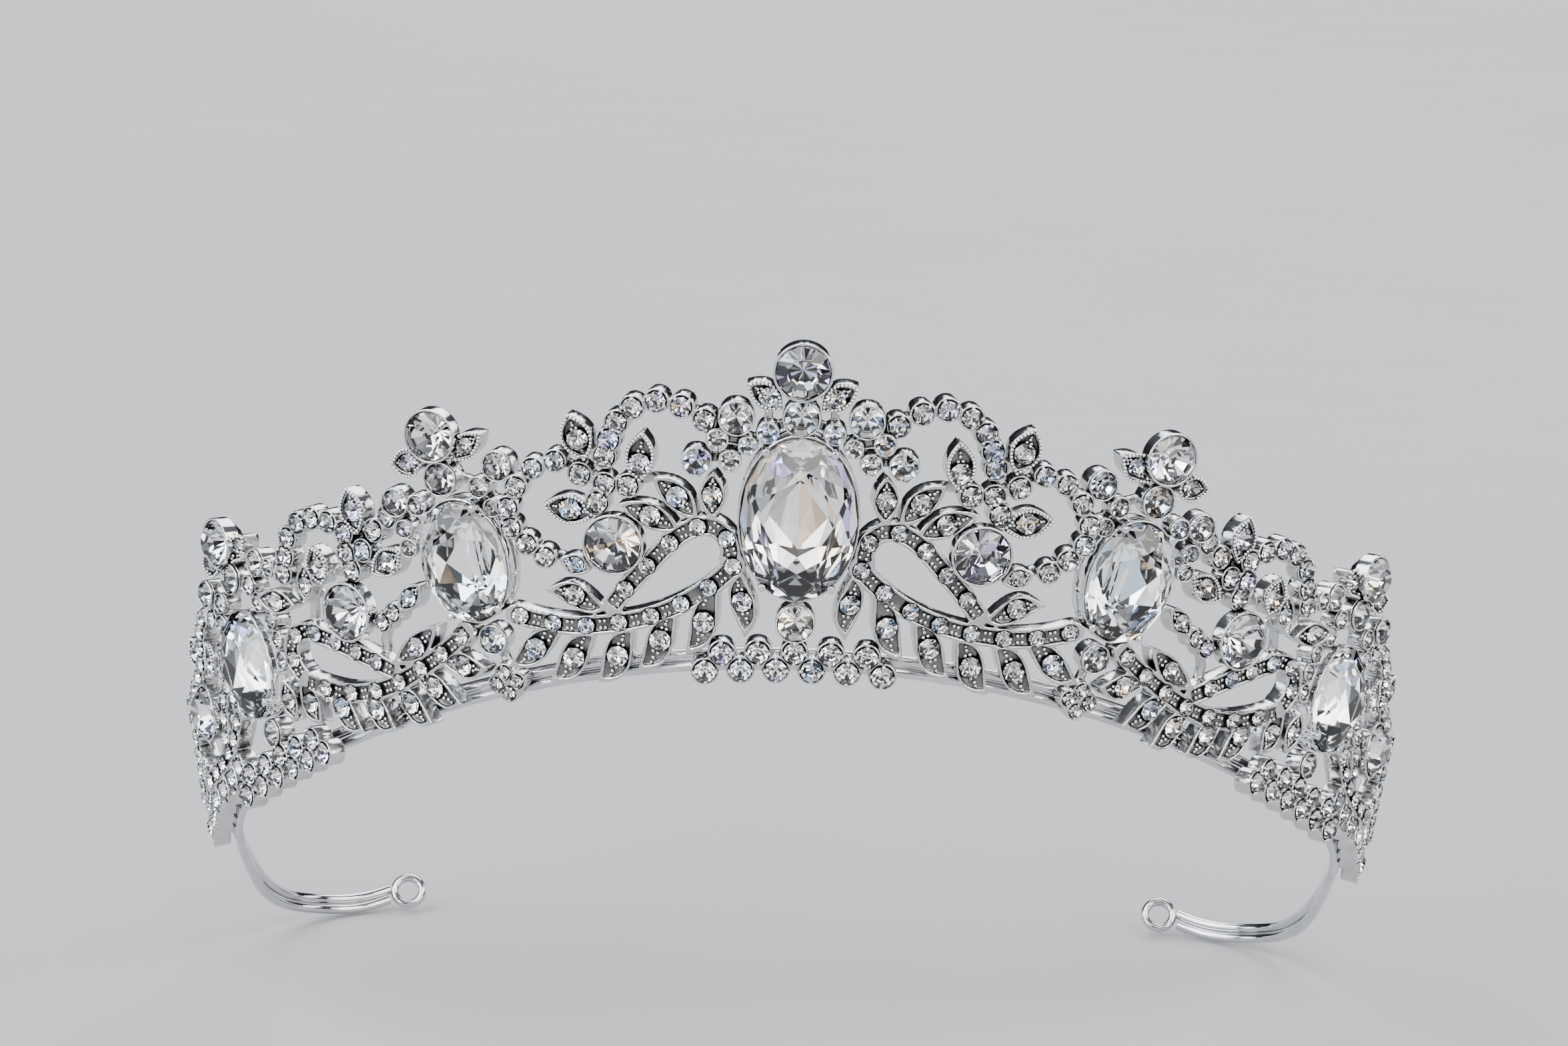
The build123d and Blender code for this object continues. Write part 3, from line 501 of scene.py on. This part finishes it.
class Details:
    """Small rounded solids gathered into one mesh."""

    def __init__(self):
        self.points, self.faces = [], []

    def add(self, points, faces):
        start = len(self.points)
        self.points += list(points)
        self.faces += [[start + corner for corner in face] for face in faces]

    def grain(self, centre, axis, radius, height=None):
        side = unit(np.cross(axis, RING_AXIS + NUDGE))
        directions = np.stack([side, np.cross(axis, side), axis])
        scale = np.array([radius, radius, height or radius])
        self.add((BALL[0] * scale) @ directions + centre, BALL[1])

    def lip(self, stone, radius, thickness, height, around=40, section=8):
        """Rounded edge of a cup."""
        points, faces = [], []
        for i in range(around):
            turn = 2 * pi * i / around
            for j in range(section):
                bend = 2 * pi * j / section
                reach = radius + thickness * cos(bend)
                points.append(stone.at(reach * cos(turn), reach * sin(turn),
                                       height + LIP_RISE * thickness * sin(bend)))
        for i in range(around):
            for j in range(section):
                a, b = i * section + j, i * section + (j + 1) % section
                c, d = ((i + 1) % around) * section + (j + 1) % section, ((i + 1) % around) * section + j
                faces.append([a, b, c, d])
        self.add(points, faces)

    def piece(self, name, material, slot, replaced=()):
        mesh = mesh_from(name, self.points, self.faces, [material], smooth=True)
        face_outward(mesh)
        return finished(name, mesh, replaced)


# place, lean and size of a claw, as shares of its stone's half width
CLAW_REACH, CLAW_RISE, CLAW_LEAN, CLAW_WIDTH, CLAW_LENGTH = 0.99, 0.10, 0.45, 0.17, 0.36
CLAW_EXTRA = 0.03 * MM
LIP_OUT, LIP_WIDTH, LIP_HEIGHT = 0.07 * MM, 0.11 * MM, 0.12


def nearest(stone, stones):
    """The closest of the other stones."""
    gaps = [np.linalg.norm(other.centre - stone.centre) for other in stones]
    return stones[np.argsort(gaps)[1]]


def claws(stones):
    """Four small claws round each stone, set between it and its neighbours."""
    made = Details()
    for stone in stones:
        toward = nearest(stone, stones).centre - stone.centre
        toward = unit(toward - stone.axis * (toward @ stone.axis))
        beside = np.cross(stone.axis, toward)
        size = stone.half_short
        for quarter in range(4):
            turn = pi / 4 + quarter * pi / 2
            way = toward * cos(turn) + beside * sin(turn)
            place = stone.centre + way * (size * CLAW_REACH) + stone.axis * (size * CLAW_RISE)
            leaning = unit(stone.axis - way * CLAW_LEAN)
            made.grain(place, leaning, CLAW_WIDTH * size + CLAW_EXTRA, CLAW_LENGTH * size)
    return made


for node in CHAIN_NODES + CLAW_NODES:
    claws(STONES[node]).piece(node.replace("stones", "claws"), POLISHED, "bright_setting")

for node in LIPPED_NODES:
    edge = Details()
    for stone in STONES[node]:
        edge.lip(stone, stone.half_short + LIP_OUT, LIP_WIDTH, LIP_HEIGHT * stone.half_short)
    edge.piece(node.replace("stones", "lips"), POLISHED, "bright_setting")

LEAF_STONES = [stone for node in LEAF_NODES for stone in STONES[node]]
CHANNEL_STONES = [stone for node in CHANNEL_NODES for stone in STONES[node]]


def ends_of(points, patch, axis):
    """Middle and corners of a floor, or of each of its two ends where it runs round a stone."""
    centres = points[patch].mean(axis=1)
    _, sizes = facing(points, patch)
    middle = (centres * sizes[:, None]).sum(axis=0) / sizes.sum()
    gap = min(np.linalg.norm(stone.centre - middle) for stone in LEAF_STONES + CHANNEL_STONES)
    groups = [np.ones(len(patch), bool)]
    if gap < ROUND_A_STONE:
        flat = centres - middle - np.outer((centres - middle) @ axis, axis)
        _, vectors = np.linalg.eigh((flat * sizes[:, None]).T @ flat)
        ahead = flat @ vectors[:, 2] > 0
        groups = [ahead, ~ahead]
    for group in groups:
        if sizes[group].sum() > SMALLEST_FLOOR:
            place = (centres[group] * sizes[group, None]).sum(axis=0) / sizes[group].sum()
            corners = points[np.unique(patch[group])]
            yield place, corners


def pocket_grains(node):
    """Raised grains on the sunk floors of a casting's leaves and channels."""
    points, tris = welded(node)
    axis, top = front_of(points, tris)
    level = points[tris].mean(axis=1) @ axis
    floor = (facing(points, tris)[0] @ axis > FACING) & (np.abs(level - (top - POCKET)) < FLOOR_SLACK)
    made = Details()
    if not floor.any():
        return made
    for patch in islands(tris[floor], len(points)):
        for middle, corners in ends_of(points, patch, axis):
            stone = min(CHANNEL_STONES + LEAF_STONES, key=lambda one: np.linalg.norm(one.centre - middle))
            away = middle - stone.centre
            away = unit(away - axis * (away @ axis))
            beside = np.cross(axis, away)
            if stone in CHANNEL_STONES:
                places = CHANNEL_GRAINS
            else:
                reach = ((corners - middle) @ away).max() / MM
                places = [(share * reach, aside, radius) for share, aside, radius in LEAF_GRAINS]
            for along, aside, radius in places:
                place = middle + (away * along + beside * aside + axis * GRAIN_RISE) * MM
                made.grain(place, axis, radius * MM)
    return made


def milgrain(node):
    """A row of beads along each milgrain edge of a CAD node."""
    made = Details()
    points, tris = welded(node)
    for part in islands(tris, len(points)):
        normals, areas = facing(points, part)
        axis, _ = main_plane(normals, areas)
        if axis @ outward(points[part].mean(axis=(0, 1))) < 0:
            axis = -axis
        level = points[part].mean(axis=1) @ axis
        face = part[(normals @ axis > FACING) & (level > level.max() - EDGE_SLACK)]
        edges = dict.fromkeys((tri[a], tri[b]) for tri in face for a, b in ((0, 1), (1, 2), (2, 0)))
        rim = {a: b for a, b in edges if (b, a) not in edges}
        placed = []
        while rim:
            path = [next(iter(rim))]
            while path[-1] in rim:
                path.append(rim.pop(path[-1]))
            line = points[path]
            steps = np.linalg.norm(np.diff(line, axis=0), axis=1)
            along = np.concatenate([[0], np.cumsum(steps)])
            for distance in np.arange(BEAD_START, along[-1], BEAD_STEP):
                k = min(np.searchsorted(along, distance, side="right") - 1, len(steps) - 1)
                heading = unit(line[k + 1] - line[k])
                inside = np.cross(axis, heading)
                place = line[k] + heading * (distance - along[k]) + inside * BEAD
                if all(np.linalg.norm(place - old) > BEAD_GAP for old in placed):
                    placed.append(place)
                    made.grain(place - axis * BEAD, axis, BEAD)
    return made


for where in ("centre", "left", "right"):
    milgrain("milgrain_rims_" + where).piece("milgrain_beads_" + where, GRAIN, "milgrain",
                                             ["milgrain_rims_" + where])


# ---- castings, settings and cups with rounded edges ---------------------------------------------
SUNK_FROM, SUNK_TO, SUNK_FACING = 0.6, 3.0, 0.55    # depths in pockets, and least cosine to the front
VOXEL, SHARE = 0.10, 0.10                           # remesh size in mm, and share of the faces kept
FINE = {"voxel": 0.08, "share": 0.15}
SMOOTHING_FACTOR, SMOOTHING_STEPS = 0.5, 3


def paint_hollow_shade(shape, points, tris):
    """Gives the sunk floors of a casting a darker metal, as painted shade in its hollows."""
    axis, top = front_of(points, tris)
    centres, normals = np.empty(len(shape.polygons) * 3), np.empty(len(shape.polygons) * 3)
    shape.polygons.foreach_get("center", centres)
    shape.polygons.foreach_get("normal", normals)
    below = top - centres.reshape(-1, 3) @ axis
    upward = normals.reshape(-1, 3) @ axis > SUNK_FACING
    sunk = (below > SUNK_FROM * POCKET) & (below < SUNK_TO * POCKET) & upward
    shape.materials.append(HOLLOW_SHADE)
    shape.polygons.foreach_set("material_index", sunk.astype(np.int32))


def rounded(node, name, material, voxel=VOXEL, share=SHARE):
    """Copy of a CAD node with every edge rounded, worked at 1 mm to the unit."""
    points, tris = welded(node)
    scale = 1 / MM
    mesh = mesh_from(name, points * scale, tris.tolist(), [material], smooth=True)
    piece = bpy.data.objects.new(name, mesh)
    bpy.context.scene.collection.objects.link(piece)
    remesh = piece.modifiers.new("Remesh", "REMESH")
    remesh.mode, remesh.voxel_size, remesh.use_smooth_shade = "VOXEL", voxel, True
    smooth = piece.modifiers.new("Smooth", "SMOOTH")
    smooth.factor, smooth.iterations = SMOOTHING_FACTOR, SMOOTHING_STEPS
    fewer = piece.modifiers.new("Decimate", "DECIMATE")
    fewer.ratio = share
    shape = bpy.data.meshes.new_from_object(piece.evaluated_get(bpy.context.evaluated_depsgraph_get()))
    bpy.data.objects.remove(piece)
    shape.transform(Matrix.Scale(MM, 4))
    shape.name = name
    shape.materials.clear()
    shape.materials.append(material)
    shape.polygons.foreach_set("use_smooth", [True] * len(shape.polygons))
    if material == CAST:
        paint_hollow_shade(shape, points, tris)
    return shape


def reflected(mesh, name):
    other = mesh.copy()
    other.name = name
    other.transform(Matrix.Scale(-1, 4, (1, 0, 0)))
    other.flip_normals()
    return other


def cast_pair(stem, kind, material, slot, **shape):
    left = rounded(f"{stem}_{kind}_left", f"{stem}_{kind}_left_cast", material, **shape)
    right = reflected(left, f"{stem}_{kind}_right_cast")
    finished(left.name, left, [f"{stem}_{kind}_left"])
    finished(right.name, right, [f"{stem}_{kind}_right"])


for node in MIDDLE_CASTINGS:
    finished(node + "_cast", rounded(node, node + "_cast", CAST), [node])
    grains = pocket_grains(node)
    if grains.points:
        grains.piece(node.replace("casting", "grains"), GRAIN, "cast_metal")
for stem in PAIRED_CASTINGS:
    cast_pair(stem, "casting", CAST, "cast_metal")
    for side in ("left", "right"):
        grains = pocket_grains(f"{stem}_casting_{side}")
        if grains.points:
            grains.piece(f"{stem}_grains_{side}", GRAIN, "cast_metal")

finished("centre_oval_setting_cast", rounded("centre_oval_setting", "centre_oval_setting_cast", POLISHED),
         ["centre_oval_setting"])
for node in ("centre_top_cup", "panel_round_cups"):
    finished(node + "_cast", rounded(node, node + "_cast", POLISHED, **FINE), [node])
for stem in ("middle", "side"):
    cast_pair(stem, "oval_setting", POLISHED, "bright_setting")
    cast_pair(stem, "top_cup", POLISHED, "bright_setting", **FINE)

for node in ("upper_band_wire", "lower_band_wire"):
    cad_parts[node].data.materials.clear()
    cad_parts[node].data.materials.append(WIRE)


# in mm: the loop's radius to the middle of its section, then the section's two half sizes
LOOP_RADIUS, LOOP_WIDTH, LOOP_DEPTH = 1.7, 0.5, 0.6
AROUND, SECTION = 48, 16


def end_ring(side):
    """A wire's end loop with a rounded section."""
    node = "end_loop_" + side
    middle = sum(np.array(corner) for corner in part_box(node)) / 2
    axis, _ = main_plane(*facing(*welded(node)))
    up = unit(RING_AXIS - axis * (RING_AXIS @ axis))
    across = np.cross(axis, up)
    points, faces = [], []
    for i in range(AROUND):
        way = across * cos(2 * pi * i / AROUND) + up * sin(2 * pi * i / AROUND)
        for j in range(SECTION):
            bend = 2 * pi * j / SECTION
            out = LOOP_RADIUS + LOOP_WIDTH * cos(bend)
            points.append(middle + (way * out + axis * LOOP_DEPTH * sin(bend)) * MM)
    for i in range(AROUND):
        for j in range(SECTION):
            n, k = (i + 1) % AROUND, (j + 1) % SECTION
            faces.append([i * SECTION + j, i * SECTION + k, n * SECTION + k, n * SECTION + j])
    loop = Details()
    loop.add(points, faces)
    loop.piece("end_ring_" + side, WIRE, "band_wire", [node])


end_ring("left")
end_ring("right")

# ---- floor, light and camera --------------------------------------------------------------------
FLOOR_REACH, FLOOR_GAP = 4.0, 0.0002
floor_level = CAD_BOX[0].z
corners = [(-FLOOR_REACH, -FLOOR_REACH), (FLOOR_REACH, -FLOOR_REACH), (FLOOR_REACH, FLOOR_REACH),
           (-FLOOR_REACH, FLOOR_REACH)]


def floor_paint():
    material, nodes, links, shader = new_material("pale_floor")
    tone = ramp(nodes, links, noise(nodes, links, 2.0),
                [(0.3, (0.31, 0.313, 0.321)), (0.7, (0.335, 0.338, 0.345))])
    links.new(tone, shader.inputs["Base Color"])
    links.new(spread(nodes, links, noise(nodes, links, 30.0), 0.7, 0.85), shader.inputs["Roughness"])
    return material


floor = bpy.data.objects.new("floor", mesh_from(
    "floor", [(x, y, floor_level - FLOOR_GAP) for x, y in corners], [[0, 1, 2, 3]], [floor_paint()]))
bpy.context.scene.collection.objects.link(floor)

LAMPS = [  # direction, half angles in degrees where it starts to fade and is gone, strength, colour
    ((-0.60, -0.35, 0.72), 24, 31, 6.6, (0.90, 0.95, 1.0)),
    ((0.10, 0.60, 0.80), 22, 30, 5.4, (0.93, 0.96, 1.0)),
    ((0.75, -0.30, 0.55), 12, 17, 7.0, (1.0, 0.96, 0.90)),
    ((0.15, -0.80, 0.62), 11, 15, 8.0, (1.0, 0.98, 0.95)),
    ((-0.95, 0.10, 0.22), 10, 15, 4.6, (0.86, 0.92, 1.0)),
    ((0.90, 0.45, 0.30), 12, 17, 4.4, (0.95, 0.97, 1.0)),
    ((-0.45, -0.88, 0.25), 6, 9, 7.0, (1.0, 1.0, 1.0)),
    ((-0.62, -0.74, 0.48), 11, 15, 7.5, (0.95, 0.97, 1.0)),
    ((0.58, -0.80, 0.22), 8, 11, 8.0, (1.0, 0.97, 0.93)),
    ((0.35, -0.62, 0.72), 8, 11, 8.0, (1.0, 0.99, 0.97)),
    ((-0.82, -0.56, 0.16), 11, 17, 4.0, (0.97, 0.98, 1.0)),
    ((0.84, -0.54, 0.20), 11, 17, 4.2, (1.0, 0.98, 0.95)),
]


def studio():
    """Soft overhead light that falls off to a dark horizon, with round soft lamps."""
    world = bpy.data.worlds.new("studio")
    bpy.context.scene.world = world
    world.use_nodes = True
    nodes, links = world.node_tree.nodes, world.node_tree.links
    where = nodes.new("ShaderNodeTexCoord")
    split = nodes.new("ShaderNodeSeparateXYZ")
    links.new(where.outputs["Generated"], split.inputs[0])
    total = ramp(nodes, links, spread(nodes, links, split.outputs["Z"], 0.0, 1.0, 0.0, 1.0),
                 [(0.0, (0.015, 0.015, 0.016)), (0.3, (0.035, 0.036, 0.04)), (0.9, (0.22, 0.23, 0.25))])
    for direction, inner, outer, strength, colour in LAMPS:
        dot = nodes.new("ShaderNodeVectorMath")
        dot.operation = "DOT_PRODUCT"
        links.new(where.outputs["Generated"], dot.inputs[0])
        dot.inputs[1].default_value = Vector(direction).normalized()
        glow = spread(nodes, links, dot.outputs["Value"], 0.0, strength,
                      cos(radians(outer)), cos(radians(inner)))
        shine = nodes.new("ShaderNodeVectorMath")
        shine.operation = "SCALE"
        shine.inputs[0].default_value = colour
        links.new(glow, shine.inputs["Scale"])
        add = nodes.new("ShaderNodeVectorMath")
        add.operation = "ADD"
        links.new(total, add.inputs[0])
        links.new(shine.outputs[0], add.inputs[1])
        total = add.outputs[0]
    links.new(total, nodes["Background"].inputs["Color"])
    nodes["Background"].inputs["Strength"].default_value = 1.0


studio()

CAMERA_AT = Vector((-1.76, -561.0, 170.2)) * MM
CAMERA_TO = Vector((-1.47, 24.69, 35.26)) * MM
CAMERA_ROLL = radians(1.84)
LENS, SENSOR_WIDTH = 114.47, 36.0
camera = bpy.data.objects.new("camera", bpy.data.cameras.new("camera"))
camera.data.lens, camera.data.sensor_width = LENS, SENSOR_WIDTH
camera.data.clip_start, camera.data.clip_end = 0.01, 20.0
ahead = (CAMERA_TO - CAMERA_AT).normalized()
right = ahead.cross(Vector((0, 0, 1))).normalized()
up = right.cross(ahead)
turned_right = right * cos(CAMERA_ROLL) + up * sin(CAMERA_ROLL)
turned_up = up * cos(CAMERA_ROLL) - right * sin(CAMERA_ROLL)
camera.matrix_world = Matrix.Translation(CAMERA_AT) @ Matrix(
    (turned_right, turned_up, -ahead)).transposed().to_4x4()
bpy.context.scene.collection.objects.link(camera)
bpy.context.scene.camera = camera
